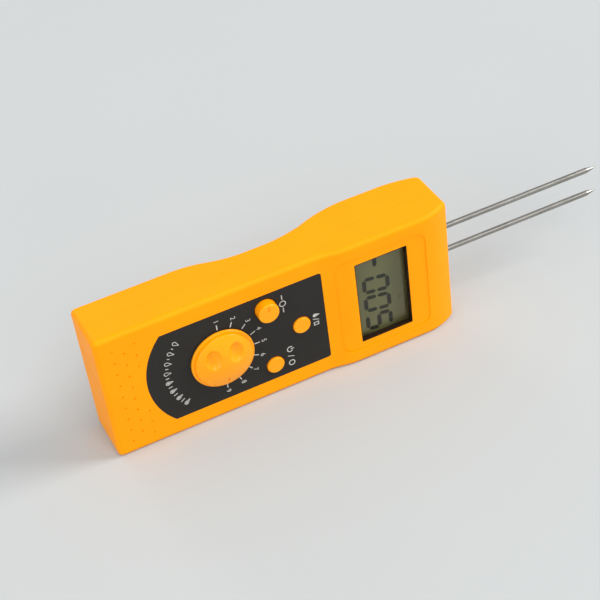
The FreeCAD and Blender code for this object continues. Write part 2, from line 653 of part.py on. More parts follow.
# ---------------------------------------------------------------- battery bay
def make_battery_door():
    body = new_body("battery_door")
    inside = cell("grip_depth") - WALL
    half = cell("door_half_width")
    plate = panel_sketch(body, "plate", inside)
    rectangle(plate, 0, MIDDLE - half, cell("door_length"), MIDDLE + half)
    pad(body, plate, WALL, reverse=True)
    edges = edges_where(body.Shape, lambda p, d: near(p.x, 0) and near(p.y, cell("grip_depth")))
    dress(body, "Fillet", "Radius", edges, cell("rear_rim_radius"))
    rail_top = inside - cell("door_gap")
    rail_front = rail_top - cell("rail_thickness")
    root_front = rail_top - SINK
    root_depth = cell("door_gap") + SINK * 2
    rail_end = cell("rail_length")
    inner = half - cell("rail_root")
    for label, front, outer, depth in (
            ("rails", rail_front, half + cell("rail_reach"), cell("rail_thickness")),
            ("joint", root_front, half, root_depth)):
        sketch = panel_sketch(body, label, front)
        outline(sketch, [(0, MIDDLE - outer), (rail_end, MIDDLE - outer), (rail_end, MIDDLE - inner),
                         (WALL, MIDDLE - inner), (WALL, MIDDLE + inner), (rail_end, MIDDLE + inner),
                         (rail_end, MIDDLE + outer), (0, MIDDLE + outer)])
        pad(body, sketch, depth, reverse=True)
    tongue_start = cell("door_length") - cell("tongue_root")
    tongue_half = cell("tongue_half_width")
    for label, front, end, depth in (
            ("tongue", rail_front + SINK, cell("door_length") + cell("tongue_reach"),
             cell("rail_thickness") - SINK),
            ("tongue_root", root_front, cell("door_length") - SINK, root_depth)):
        sketch = panel_sketch(body, label, front)
        rectangle(sketch, tongue_start, MIDDLE - tongue_half, end, MIDDLE + tongue_half)
        pad(body, sketch, depth, reverse=True)
    ridges = panel_sketch(body, "ridges", cell("grip_depth") - cell("door_ridge_depth"))
    pitch = cell("door_ridge_pitch")
    ridge_half = cell("door_ridge_half_width")
    for row in range(BATTERY_DOOR_RIDGES):
        x = cell("door_ridge_start") + pitch * row
        rectangle(ridges, x, MIDDLE - ridge_half, x + pitch / 2, MIDDLE + ridge_half)
    pocket(body, ridges, WALL)


def make_battery():
    start = cell("battery_start")
    front = cell("battery_front")
    bottom = cell("battery_bottom")
    top = bottom + cell("battery_height")
    body = new_body("battery_9v")
    block = new_sketch(body, "block", "XY_Plane", bottom)
    rounded_rectangle(block, start, front, start + cell("battery_across"),
                      front + cell("battery_thickness"), cell("battery_corner"))
    pad(body, block, cell("battery_height"))
    middle_x = start + cell("battery_across") / 2
    middle_y = front + cell("battery_thickness") / 2
    half_pitch = cell("stud_pitch") / 2
    stud = rod("stud", "z", (middle_x - half_pitch, middle_y, top), cell("stud_radius"),
               cell("stud_height"))
    cup = hexagon("cup", "z", (middle_x + half_pitch, middle_y, top), cell("cup_flats"),
                  cell("stud_height"))
    node(several("battery_studs_set", [stud, cup]), "battery_studs")
    snap_z = top + cell("stud_height")
    snap_top = snap_z + cell("snap_thickness")
    snap_end = middle_x + cell("snap_across") / 2
    depth = cell("snap_half_depth")
    plate = box("snap_plate", (snap_end - cell("snap_across"), middle_y - depth, snap_z),
                (snap_end, middle_y + depth, snap_top))
    entry_depth = cell("snap_entry_half_depth")
    entry = box("snap_entry", (snap_end - cell("snap_entry_across"), cell("wire_y") - entry_depth,
                               top + cell("snap_entry_gap")),
                (snap_end, cell("wire_y") + entry_depth, snap_top))
    node(fuse("battery_snap_set", [plate, entry]), "battery_snap")
    foam_back = cell("grip_depth") - WALL
    foam_half = cell("foam_length") / 2
    foam_start = start + cell("foam_inset")
    node(box("foam_pad", (foam_start, foam_back - cell("foam_thickness"), MIDDLE - foam_half),
             (foam_start + cell("foam_length"), foam_back, MIDDLE + foam_half)), "battery_foam")


def make_wire(name, points, radius):
    """A wire of straight runs joined by tangent arcs, swept along its own route."""
    vectors = [Vector(*(as_size(item).value for item in point)) for point in points]
    edges = []
    start = vectors[0]
    for before, corner, after in zip(vectors, vectors[1:], vectors[2:]):
        run_in, run_out = before - corner, after - corner
        half_turn = (math.pi - run_in.getAngle(run_out)) / 2
        setback = SETBACK_SHARE * min(run_in.Length, run_out.Length)
        first = corner + run_in.normalize() * setback
        last = corner + run_out.normalize() * setback
        bend = setback / math.tan(half_turn)
        inward = (run_in + run_out).normalize()
        middle = corner + inward * (math.hypot(setback, bend) - bend)
        edges += [Part.LineSegment(start, first).toShape(), Part.Arc(first, middle, last).toShape()]
        start = last
        print(f"{name}: bend radius {bend:.2f} mm, wire diameter {2 * radius.value:.2f} mm")
    edges.append(Part.LineSegment(start, vectors[-1]).toShape())
    path = Part.Wire(edges)
    direction = vectors[1] - vectors[0]
    section = Part.Wire([Part.Circle(vectors[0], direction, radius.value).toShape()])
    item = doc.addObject("Part::Feature", name)
    item.Shape = path.makePipeShell([section], True, False)
    item.Placement = Placement(-Vector(*(size.value for size in ORIGIN)), Rotation())
    expected = path.Length * math.pi * radius.value ** 2
    if abs(item.Shape.Volume - expected) > VOLUME_TOLERANCE * expected:
        raise RuntimeError(f"{name} has the wrong volume")
    node(item, name)


def make_battery_wires():
    start = cell("battery_start") + cell("battery_across") / 2 + cell("snap_across") / 2
    top = WIDTH - cell("wire_top_gap")
    for name, z, end in (("battery_wire_red", top, cell("red_wire_end")),
                         ("battery_wire_black", top - cell("wire_pitch"), cell("black_wire_end"))):
        make_wire(name, [(start, cell("wire_y"), z), (end, cell("wire_y"), z), (end, BOARD_BACK, z)],
                  cell("wire_radius"))


# ---------------------------------------------------------------- panel controls
def make_label():
    body = new_body("panel_label")
    film = panel_sketch(body, "film", cell("label_thickness"))
    outline(film, label_outline(cell("label_edge_gap")))
    pad(body, film, cell("label_thickness"))
    holes = panel_sketch(body, "holes", -PAST)
    control_holes(holes)
    pocket(body, holes, PAST * 2)


def make_code_knob():
    """Selector knob: flange, low disc with a domed top, and a finger bar left between two scoops."""
    body = new_body("code_knob")
    x = cell("knob_x")
    base = -cell("knob_gap")
    step = base - cell("knob_flange_thickness")
    rim = -cell("knob_disc_height")
    top = -cell("knob_height")
    disc = cell("knob_disc_radius")
    rise_height = rim - top
    dome = (disc * disc + rise_height * rise_height) / (rise_height * 2)
    profile = new_sketch(body, "profile", "XY_Plane", MIDDLE)
    outline(profile, [(x, base), (x, top), (x + disc, rim, dome), (x + disc, step),
                      (x + cell("knob_flange_radius"), step), (x + cell("knob_flange_radius"), base)])
    turn(body, profile, (x, top), (x, base))
    edges = edges_where(body.Shape, lambda p, d: near(p.y, rim)
                        or near(p.y, step) and p.x < x.value - disc.value - SINK.value)
    dress(body, "Fillet", "Radius", edges, cell("knob_edge_radius"))
    for side in (-1, 1):
        scoop = body.newObject("PartDesign::SubtractiveEllipsoid", f"code_knob_scoop_{side + 1}")
        plane = next(item for item in body.Origin.OriginFeatures if item.Role == "XY_Plane")
        scoop.AttachmentSupport = [(plane, "")]
        scoop.MapMode = "FlatFace"
        bind(scoop, "AttachmentOffset.Base.x", x + cell("knob_scoop_offset") * side)
        bind(scoop, "AttachmentOffset.Base.y", -cell("knob_scoop_floor") - cell("knob_scoop_radius"))
        bind(scoop, "AttachmentOffset.Base.z", MIDDLE + cell("knob_scoop_rise"))
        bind(scoop, "Radius1", cell("knob_scoop_length"))
        bind(scoop, "Radius2", cell("knob_scoop_width"))
        bind(scoop, "Radius3", cell("knob_scoop_radius"))
        doc.recompute()
    brink = edges_where(body.Shape, lambda p, d: p.y < rim.value - SINK.value
                        and abs(p.x - x.value) < cell("knob_scoop_offset").value * 2)
    dress(body, "Fillet", "Radius", brink, cell("knob_brink_radius"))
    recess = panel_sketch(body, "recess", base - cell("knob_recess_depth"))
    circle(recess, x, MIDDLE, cell("knob_recess_radius"))
    pocket(body, recess, cell("knob_recess_depth") + PAST)
    socket = panel_sketch(body, "socket", -cell("knob_socket_reach"))
    circle(socket, x, MIDDLE, cell("shaft_radius"))
    pocket(body, socket, cell("knob_height"))
    mark = panel_sketch(body, "mark", rim - cell("knob_mark_depth"))
    half = cell("knob_mark_width") / 2
    rectangle(mark, x - half, MIDDLE - cell("knob_mark_end"), x + half, MIDDLE - cell("knob_mark_start"))
    pocket(body, mark, cell("knob_height"), reverse=True)


def make_code_switch():
    """Rotary switch behind the knob, held in the panel by its bushing and nut."""
    x = cell("knob_x")
    front = cell("switch_front")
    depth = cell("switch_depth")
    reach = cell("bushing_reach")
    can = rod("switch_can", "y", (x, front, MIDDLE), cell("switch_radius"), depth)
    bushing = rod("switch_bushing", "y", (x, -reach, MIDDLE), cell("bushing_radius"),
                  reach + front + SINK)
    bore = rod("switch_bore", "y", (x, -reach - PAST, MIDDLE),
               cell("shaft_radius") + cell("shaft_clearance"),
               reach + PAST + front + depth - cell("switch_floor"))
    node(cut("code_switch_cut", fuse("switch_outside", [can, bushing]), [bore]), "code_switch_body")
    nut_y = -cell("nut_thickness") - SINK
    nut = hexagon("switch_nut_blank", "y", (x, nut_y, MIDDLE), cell("nut_flats"), cell("nut_thickness"))
    nut_bore = rod("switch_nut_bore", "y", (x, nut_y - PAST, MIDDLE), cell("bushing_radius"),
                   cell("nut_thickness") + PAST * 2)
    node(cut("code_switch_nut_cut", nut, [nut_bore]), "code_switch_nut")
    shaft_start = -cell("knob_socket_reach")
    node(rod("switch_shaft", "y", (x, shaft_start, MIDDLE), cell("shaft_radius"),
             front + depth - cell("switch_floor") - SINK * 2 - shaft_start), "code_switch_shaft")
    lugs = []
    half = cell("switch_lug_width") / 2
    back = front + depth
    for index in range(SWITCH_LUGS):
        angle = 2 * math.pi * index / SWITCH_LUGS
        lug_x = x + cell("switch_lug_circle") * round(math.cos(angle), 6)
        lug_z = MIDDLE + cell("switch_lug_circle") * round(math.sin(angle), 6)
        lugs.append(box(f"switch_lug_{index}", (lug_x - half, back, lug_z - half),
                        (lug_x + half, back + cell("switch_lug_length"), lug_z + half)))
    node(several("code_switch_lug_set", lugs), "code_switch_lugs")


def make_zero_control():
    x, z = cell("zero_x"), cell("zero_z")
    top = -cell("zero_height")
    body = new_body("zero_knob")
    skirt = cell("zero_skirt")
    cap = panel_sketch(body, "cap", skirt)
    circle(cap, x, z, cell("zero_radius"))
    pad(body, cap, skirt - top)
    edges = edges_where(body.Shape, lambda p, d: near(p.y, top))
    dress(body, "Fillet", "Radius", edges, cell("zero_edge_radius"))
    slot = panel_sketch(body, "pointer", top + cell("zero_mark_depth"))
    half_mark = cell("zero_mark_width") / 2
    rectangle(slot, x - half_mark, z + cell("zero_mark_start"), x + half_mark, z + cell("zero_mark_end"))
    pocket(body, slot, PAST, reverse=True)
    front = BOARD_FRONT - cell("trimmer_depth")
    stem = panel_sketch(body, "stem", front - SINK)
    circle(stem, x, z, cell("zero_stem_radius"))
    pad(body, stem, front - SINK * 2)
    shaft_start = cell("trimmer_shaft_start")
    shaft_radius = cell("trimmer_shaft_radius")
    socket = panel_sketch(body, "socket", shaft_start)
    circle(socket, x, z, shaft_radius)
    pocket(body, socket, BOARD_FRONT)
    half = cell("trimmer_size") / 2
    block = box("trimmer_block", (x - half, front, z - half), (x + half, BOARD_FRONT, z + half))
    bore_depth = cell("trimmer_bore_depth")
    bore = rod("trimmer_bore", "y", (x, front - PAST, z), cell("plunger_clearance") + shaft_radius,
               PAST + bore_depth)
    node(cut("zero_trimmer_cut", block, [bore]), "zero_trimmer_body")
    node(rod("trimmer_shaft", "y", (x, shaft_start, z), shaft_radius,
             front + bore_depth - SINK - shaft_start), "zero_trimmer_shaft")


def make_button(label, x, z):
    """A flush push button with a hidden flange, resting on a small tactile switch."""
    radius = cell("button_radius")
    back = PANEL_INSIDE + cell("button_back_gap")
    body = new_body(f"{label}_button")
    cap = panel_sketch(body, "cap", back)
    circle(cap, x, z, radius)
    pad(body, cap, back + cell("button_proud"))
    edges = edges_where(body.Shape, lambda p, d: near(p.y, -cell("button_proud")))
    dress(body, "Fillet", "Radius", edges, cell("button_edge_radius"))
    flange = panel_sketch(body, "flange", back)
    circle(flange, x, z, cell("button_flange_radius"))
    flange_thickness = cell("button_flange_thickness")
    pad(body, flange, flange_thickness, reverse=True)
    half = cell("tact_size") / 2
    front = BOARD_FRONT - cell("tact_depth")
    block = box(f"{label}_tact", (x - half, front, z - half), (x + half, BOARD_FRONT, z + half))
    sink = cell("plunger_sink")
    bore = rod(f"{label}_tact_bore", "y", (x, front - PAST, z),
               cell("plunger_radius") + cell("plunger_clearance"), PAST + sink)
    node(cut(f"{label}_tact_cut", block, [bore]), f"{label}_switch_body")
    start = back + flange_thickness
    length = front + sink - cell("button_travel") - cell("button_play") - start
    node(rod(f"{label}_plunger_rod", "y", (x, start, z), cell("plunger_radius"), length),
         f"{label}_switch_plunger")


# ---------------------------------------------------------------- display and electronics
def make_display():
    x_low, x_high = cell("window_start"), cell("window_end")
    half = cell("window_half_width")
    play = cell("lens_overlap") - GAP
    front = cell("lens_front")
    gasket = new_body("lens_gasket")
    sleeve = panel_sketch(gasket, "sleeve", front)
    rounded_rectangle(sleeve, x_low, MIDDLE - half, x_high, MIDDLE + half, cell("window_corner"))
    pad(gasket, sleeve, front - cell("gasket_front"))
    width = cell("gasket_width")
    hole = panel_sketch(gasket, "hole", cell("gasket_front") - PAST)
    rectangle(hole, x_low + width, MIDDLE - half + width, x_high - width, MIDDLE + half - width)
    pocket(gasket, hole, front - cell("gasket_front") + PAST * 2)
    lens_back = front + cell("lens_thickness")
    node(box("lens", (x_low - play, front, MIDDLE - half - play),
             (x_high + play, lens_back, MIDDLE + half + play)), "lcd_window")
    margin = cell("lcd_margin")
    glass_front = lens_back + GAP
    glass_back = glass_front + cell("lcd_thickness")
    glass_low = (x_low - margin, glass_front, MIDDLE - half - margin)
    glass_high = (x_high + margin, glass_back, MIDDLE + half + margin)
    node(box("glass", glass_low, glass_high), "lcd_glass")
    wall = cell("lcd_frame_wall")
    frame = box("frame_block", (glass_low[0] - wall, glass_front, glass_low[2] - wall),
                (glass_high[0] + wall, BOARD_FRONT, glass_high[2] + wall))
    inside = box("frame_inside", (glass_low[0] - GAP, glass_front - PAST, glass_low[2] - GAP),
                 (glass_high[0] + GAP, BOARD_FRONT + PAST, glass_high[2] + GAP))
    node(cut("lcd_frame_cut", frame, [inside]), "lcd_frame")
    strip = cell("zebra_width")
    inset = cell("zebra_inset")
    end_gap = cell("zebra_end_gap")
    for label, start in (("lower", glass_low[0] + inset), ("upper", glass_high[0] - inset - strip)):
        node(box(f"zebra_{label}_strip", (start, glass_back, glass_low[2] + end_gap),
                 (start + strip, BOARD_FRONT, glass_high[2] - end_gap)), f"zebra_strip_{label}")


def make_board():
    body = new_body("main_board")
    margin = cell("board_margin")
    plate = panel_sketch(body, "plate", BOARD_BACK)
    rounded_rectangle(plate, cell("board_start"), margin, cell("board_end"), WIDTH - margin,
                      cell("board_corner"))
    pad(body, plate, cell("board_thickness"))
    holes = panel_sketch(body, "holes", BOARD_FRONT - PAST)
    screw_circles(holes, BOARD_SCREWS, cell("board_screw_radius") + cell("board_screw_play"))
    pocket(body, holes, cell("board_thickness") + PAST * 2)
    chip = cell("chip_size")
    start = cell("chip_start")
    node(box("chip_block", (start, BOARD_BACK, MIDDLE - chip / 2),
             (start + chip, BOARD_BACK + cell("chip_depth"), MIDDLE + chip / 2)), "main_chip")
    smalls = []
    for row in range(SMALL_PART_ROWS):
        for column in range(SMALL_PART_COLUMNS):
            x = cell("small_part_start") + cell("small_part_pitch") * column
            z = MIDDLE + cell("small_part_row_pitch") * (row - (SMALL_PART_ROWS - 1) / 2)
            smalls.append(box(f"small_{row}_{column}", (x, BOARD_BACK, z),
                              (x + cell("small_part_length"), BOARD_BACK + cell("small_part_depth"),
                               z + cell("small_part_width"))))
    node(several("small_part_set", smalls), "small_parts")
    cans = [rod(f"can_{index}", "y", (cell("can_start") + cell("can_pitch") * index, BOARD_BACK,
                                      MIDDLE + cell("can_rise")), cell("can_radius"), cell("can_length"))
            for index in range(CAPACITORS)]
    node(several("capacitor_set", cans), "capacitors")


def screw(name, x, z, head_y, head_radius, head, shank_radius, shank):
    """A pan-head screw driven from the back, with a cross recess."""
    parts = [rod(f"{name}_head", "y", (x, head_y, z), head_radius, head),
             rod(f"{name}_shank", "y", (x, head_y - shank, z), shank_radius, shank)]
    arm = head_radius * cell("screw_slot_reach")
    half = cell("screw_slot_width") / 2
    recess = [box(f"{name}_slot_{label}", (x - across, head_y + head / 2, z - along),
                  (x + across, head_y + head * 2, z + along))
              for label, across, along in (("x", arm, half), ("z", half, arm))]
    return cut(name, fuse(f"{name}_blank", parts), recess)


def make_screws():
    seat = cell("case_screw_seat")
    end_gap = cell("screw_end_gap")
    shank = seat - SPLIT + cell("case_screw_depth") - end_gap
    items = [screw(f"case_screw_{index}", x, z, seat, cell("case_screw_head_radius"),
                   cell("case_screw_head"), cell("case_screw_radius"), shank)
             for index, (x, z) in enumerate(CASE_SCREWS)]
    node(several("case_screw_set", items), "case_screws")
    shank = cell("board_thickness") + cell("board_screw_depth") - end_gap
    items = [screw(f"board_screw_{index}", x, z, BOARD_BACK, cell("board_screw_head_radius"),
                   cell("board_screw_head"), cell("board_screw_radius"), shank)
             for index, (x, z) in enumerate(BOARD_SCREWS)]
    node(several("board_screw_set", items), "board_screws")


# ---------------------------------------------------------------- probe
def make_probe():
    """Two steel pins through an insulating block, each with a collar, nut, lug and wire."""
    y = cell("pin_y")
    start, end = cell("probe_block_start"), cell("probe_block_end")
    half = cell("probe_block_half_width")
    depth = cell("probe_block_half_depth")
    radius = cell("pin_radius")
    shank = cell("pin_shank_radius")
    shank_end = cell("pin_shank_end")
    collar = cell("probe_collar_thickness")
    block = box("probe_block_blank", (start, y - depth, MIDDLE - half), (end, y + depth, MIDDLE + half))
    tools = []
    nuts = []
    lugs = []
    for index, offset in enumerate(PIN_OFFSETS):
        z = MIDDLE + offset
        tools.append(rod(f"block_bore_{index}", "x", (start - PAST, y, z), shank, end - start + PAST * 2))
        tools.append(rod(f"block_seat_{index}", "x", (end - collar, y, z), cell("probe_collar_radius"),
                         collar + PAST))
        label = ("lower", "upper")[index]
        body = new_body(f"probe_pin_{label}")
        profile = new_sketch(body, "profile", "XY_Plane", z)
        cone = cell("pin_cone")
        tip = cell("pin_tip_x")
        outline(profile, [(cell("pin_start"), y), (tip, y), (tip - cone, y + radius),
                          (cell("pin_shoulder_end"), y + radius), (shank_end, y + shank),
                          (end, y + shank),
                          (end, y + cell("probe_collar_radius")),
                          (end - collar, y + cell("probe_collar_radius")), (end - collar, y + shank),
                          (cell("pin_start"), y + shank)])
        turn(body, profile, (cell("pin_start"), y), (tip, y))
        lug_start = start - cell("lug_thickness")
        nut_start = lug_start - cell("probe_nut_thickness")
        nut = hexagon(f"probe_nut_{index}", "x", (nut_start, y, z), cell("probe_nut_flats"),
                      cell("probe_nut_thickness"))
        nut_bore = rod(f"probe_nut_bore_{index}", "x", (nut_start - PAST, y, z), shank,
                       cell("probe_nut_thickness") + PAST * 2)
        nuts.append(cut(f"probe_nut_cut_{index}", nut, [nut_bore]))
        ring = rod(f"lug_ring_{index}", "x", (lug_start, y, z), cell("lug_radius"), cell("lug_thickness"))
        half_lug = cell("lug_half_width")
        tail = box(f"lug_tail_{index}", (lug_start, y, z - half_lug),
                   (start, y + cell("lug_length"), z + half_lug))
        lug_bore = rod(f"lug_bore_{index}", "x", (lug_start - PAST, y, z), shank,
                       cell("lug_thickness") + PAST * 2)
        lugs.append(cut(f"lug_cut_{index}", fuse(f"lug_blank_{index}", [ring, tail]), [lug_bore]))
        wire_y = y + cell("lug_length") - cell("lug_wire_inset")
        wire_end = cell("probe_wire_end")
        make_wire(f"probe_wire_{label}", [(lug_start, wire_y, z), (wire_end, wire_y, z),
                                          (wire_end, BOARD_BACK, z)], cell("probe_wire_radius"))
    node(cut("probe_block_cut", block, tools), "probe_block")
    node(several("probe_nut_set", nuts), "probe_nuts")
    node(several("probe_lug_set", lugs), "probe_lugs")


# ---------------------------------------------------------------- assembly
def place_bodies():
    for item in nodes:
        if item.isDerivedFrom("PartDesign::Body"):
            place(item, (0, 0, 0))
    doc.recompute()


def check_document():
    for item in doc.Objects:
        if "Invalid" in item.State or "Error" in item.State:
            raise RuntimeError(f"{item.Label} did not compute: {item.State}")
    for item in nodes:
        if item.Shape.isNull() or not item.Shape.isValid() or not item.Shape.Solids:
            raise RuntimeError(f"{item.Label} has no valid shape")


def write_parts():
    os.makedirs("parts", exist_ok=True)
    for item in nodes:
        item.Shape.exportStep(os.path.join("parts", f"{item.Label}.step"))
        print(f"{item.Label}: {len(item.Shape.Solids)} solid(s), {item.Shape.Volume:.1f} mm3")


make_front_case()
make_rear_case()
make_battery_door()
make_battery()
make_battery_wires()
make_label()
make_code_knob()
make_code_switch()
make_zero_control()
make_button("power", cell("power_x"), cell("power_z"))
make_button("mode", cell("mode_x"), MIDDLE)
make_display()
make_board()
make_screws()
make_probe()
place_bodies()
check_document()
write_parts()
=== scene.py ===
import json
import math

import bmesh
import bpy
from mathutils import Matrix, Vector


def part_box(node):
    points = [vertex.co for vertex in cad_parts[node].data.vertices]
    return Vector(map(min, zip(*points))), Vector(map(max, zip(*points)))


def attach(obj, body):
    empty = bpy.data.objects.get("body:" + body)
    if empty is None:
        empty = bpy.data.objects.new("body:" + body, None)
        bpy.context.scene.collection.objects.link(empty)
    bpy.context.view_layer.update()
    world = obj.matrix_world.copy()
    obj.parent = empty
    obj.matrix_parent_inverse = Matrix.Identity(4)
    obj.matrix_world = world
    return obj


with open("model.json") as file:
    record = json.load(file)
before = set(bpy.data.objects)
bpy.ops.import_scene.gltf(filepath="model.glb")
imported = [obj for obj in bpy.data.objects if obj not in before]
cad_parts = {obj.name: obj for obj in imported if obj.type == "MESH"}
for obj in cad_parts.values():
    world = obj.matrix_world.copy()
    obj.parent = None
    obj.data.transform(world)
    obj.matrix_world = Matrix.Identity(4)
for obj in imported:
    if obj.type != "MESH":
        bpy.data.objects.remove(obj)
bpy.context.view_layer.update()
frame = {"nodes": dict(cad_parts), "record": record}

MM = 0.001


# ---------------------------------------------------------------- places, from the frame
def middle(node):
    low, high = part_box(node)
    return (low + high) / 2


MIDDLE_Z = middle("front_case").z
PANEL_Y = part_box("panel_label")[0].y
KNOB = middle("code_knob")
ZERO = middle("zero_knob")
POWER = middle("power_button")
MODE = middle("mode_button")
OPENING_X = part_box("lens_gasket")[0].x
GLASS_LOW, GLASS_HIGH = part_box("lcd_glass")
BATTERY_LOW, BATTERY_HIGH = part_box("battery_9v")


# ---------------------------------------------------------------- colours
def srgb(red, green, blue):
    """A linear colour from 0-255 display values."""
    def linear(value):
        value = value / 255
        return value / 12.92 if value <= 0.04045 else ((value + 0.055) / 1.055) ** 2.4
    return (linear(red), linear(green), linear(blue), 1.0)


def tone(colour, factor):
    return tuple(channel * factor for channel in colour[:3]) + (1.0,)


WHITE = (1.0, 1.0, 1.0, 1.0)
BLACK = (0.0, 0.0, 0.0, 1.0)
CASE_ORANGE = srgb(255, 156, 0)
KNOB_ORANGE = srgb(255, 160, 0)
LABEL_BLACK = srgb(39, 38, 36)
PRINT_GREY = srgb(188, 188, 182)
GASKET_BROWN = srgb(38, 25, 14)
IVORY = srgb(226, 224, 214)
RUBBER_GREY = srgb(60, 60, 64)
FOAM_GREY = srgb(44, 44, 46)
WIRE_RED = srgb(176, 22, 20)
WIRE_BLACK = srgb(22, 22, 24)
PIN_STEEL = srgb(158, 155, 149)
PLATED_STEEL = srgb(190, 190, 186)
BRASS = srgb(205, 168, 96)
BOARD_GREEN = srgb(44, 128, 62)
TRACK_GREEN = srgb(18, 92, 48)
JACKET_DARK = srgb(30, 33, 40)
JACKET_COPPER = srgb(176, 116, 62)
CLEAR_TINT = srgb(246, 248, 240)
# Display field tones across the glass: the last, darker tone is painted shade of the window's
# recess at the pin end.
LCD_FIELD_AND_SHADE = (srgb(119, 116, 80), srgb(123, 121, 84), srgb(101, 94, 60))
SEGMENT_COLOURS = (srgb(12, 16, 8), srgb(22, 26, 16))
FAINT_COLOURS = (srgb(74, 74, 50), srgb(84, 84, 58))
FLOOR_COLOURS = (srgb(182, 185, 185), srgb(185, 188, 188))


# ---------------------------------------------------------------- node helpers
# Noise scales are in cells per metre, bump depths in metres.
NOISE_BAND = (0.3, 0.7)
FULL_BAND = (0.0, 1.0)
MIX_FACTOR, MIX_FIRST, MIX_SECOND = 0, 6, 7
MIX_RESULT = 2


class Nodes:
    """A material's node tree, with short calls for the nodes that the finishes share."""

    def __init__(self, name):
        self.material = bpy.data.materials.new(name)
        self.material.use_nodes = True
        self.tree = self.material.node_tree
        self.shader = self.tree.nodes["Principled BSDF"]
        self.place = self.add("ShaderNodeTexCoord").outputs["Object"]

    def add(self, kind, **settings):
        node = self.tree.nodes.new(kind)
        for key, value in settings.items():
            setattr(node, key, value)
        return node

    def link(self, source, target):
        self.tree.links.new(source, target)

    def stretched(self, scale):
        """Object coordinates scaled by a different number along each axis."""
        mapping = self.add("ShaderNodeMapping")
        mapping.inputs["Scale"].default_value = scale
        self.link(self.place, mapping.inputs["Vector"])
        return mapping.outputs["Vector"]

    def axis(self, letter):
        split = self.add("ShaderNodeSeparateXYZ")
        self.link(self.place, split.inputs["Vector"])
        return split.outputs[letter]

    def noise(self, scale, detail=2.0, roughness=0.5, vector=None):
        node = self.add("ShaderNodeTexNoise")
        node.inputs["Scale"].default_value = scale
        node.inputs["Detail"].default_value = detail
        node.inputs["Roughness"].default_value = roughness
        self.link(vector or self.place, node.inputs["Vector"])
        return node.outputs["Fac"]

    def ramp(self, value, stops):
        node = self.add("ShaderNodeValToRGB")
        elements = node.color_ramp.elements
        while len(elements) < len(stops):
            elements.new(0.5)
        for element, (position, colour) in zip(elements, stops):
            element.position = position
            element.color = colour
        self.link(value, node.inputs["Fac"])
        return node.outputs["Color"]

    def fade(self, value, first, second, band=NOISE_BAND):
        """From one colour to another while the value crosses the band."""
        return self.ramp(value, list(zip(band, (first, second))))

    def grey(self, value, low, high, band=FULL_BAND):
        """A number that goes from low to high while the value crosses the band."""
        node = self.add("ShaderNodeMapRange")
        for key, number in zip(("From Min", "From Max", "To Min", "To Max"), (*band, low, high)):
            node.inputs[key].default_value = number
        self.link(value, node.inputs["Value"])
        return node.outputs["Result"]

    def mix(self, factor, first, second, blend="MIX"):
        node = self.add("ShaderNodeMix", data_type="RGBA", blend_type=blend)
        for key, value in ((MIX_FACTOR, factor), (MIX_FIRST, first), (MIX_SECOND, second)):
            self.feed(node.inputs[key], value)
        return node.outputs[MIX_RESULT]

    def bump(self, height, distance, strength=1.0, under=None):
        node = self.add("ShaderNodeBump")
        node.inputs["Distance"].default_value = distance
        node.inputs["Strength"].default_value = strength
        self.link(height, node.inputs["Height"])
        if under is not None:
            self.link(under, node.inputs["Normal"])
        return node.outputs["Normal"]

    def feed(self, socket, value):
        """Link an output, or set a plain value on the socket itself."""
        if hasattr(value, "is_output"):
            self.link(value, socket)
        else:
            socket.default_value = value

    def set(self, **sockets):
        for key, value in sockets.items():
            self.feed(self.shader.inputs[key.replace("_", " ")], value)


# ---------------------------------------------------------------- finishes
MOTTLE_SCALE = 45
GLOSS_SCALE = 220
GLOSS_SPREAD = 0.05
RIPPLE_SCALE = 260
RIPPLE_DEPTH = 0.00004
RIPPLE_STRENGTH = 0.12
GRAIN_STRENGTH = 0.35


def moulded(name, colour, roughness, grain=0.00002, grain_scale=2600, specular=0.22, mottle=0.05):
    """Moulded plastic: fine spark-eroded grain, faint flow mottling, slightly uneven gloss."""
    n = Nodes(name)
    flow = n.noise(MOTTLE_SCALE, detail=3)
    n.set(Base_Color=n.fade(flow, tone(colour, 1 - mottle), colour))
    gloss = n.noise(GLOSS_SCALE, detail=3)
    n.set(Roughness=n.grey(gloss, roughness - GLOSS_SPREAD, roughness + GLOSS_SPREAD, NOISE_BAND))
    ripple = n.bump(n.noise(RIPPLE_SCALE), RIPPLE_DEPTH, RIPPLE_STRENGTH)
    n.set(Normal=n.bump(n.noise(grain_scale, detail=3), grain, GRAIN_STRENGTH, ripple))
    n.set(Specular_IOR_Level=specular)
    return n.material


LINE_SCALE = 5200
ALONG_SCALE = 120
LINE_DEPTH = 0.00001
LINE_GLOSS = (-0.08, 0.1)
TARNISH_SCALE = 140
TARNISH_TONE = 0.8
TARNISH_BAND = (0.3, 0.65)


def brushed(name, colour, roughness, along):
    """Drawn or turned metal: fine lines along one axis, a little tarnish."""
    n = Nodes(name)
    scale = tuple(ALONG_SCALE if axis == along else LINE_SCALE for axis in "xyz")
    lines = n.noise(1.0, detail=3, roughness=0.6, vector=n.stretched(scale))
    tarnish = n.noise(TARNISH_SCALE, detail=4)
    n.set(Base_Color=n.fade(tarnish, tone(colour, TARNISH_TONE), colour, TARNISH_BAND))
    n.set(Metallic=1.0)
    low, high = (roughness + shift for shift in LINE_GLOSS)
    n.set(Roughness=n.grey(lines, low, high, NOISE_BAND))
    n.set(Normal=n.bump(lines, LINE_DEPTH, strength=0.4))
    return n.material


TRACK_CELLS = 260
TRACK_BAND = (0.03, 0.06)
TRACK_HEIGHT = 0.00003


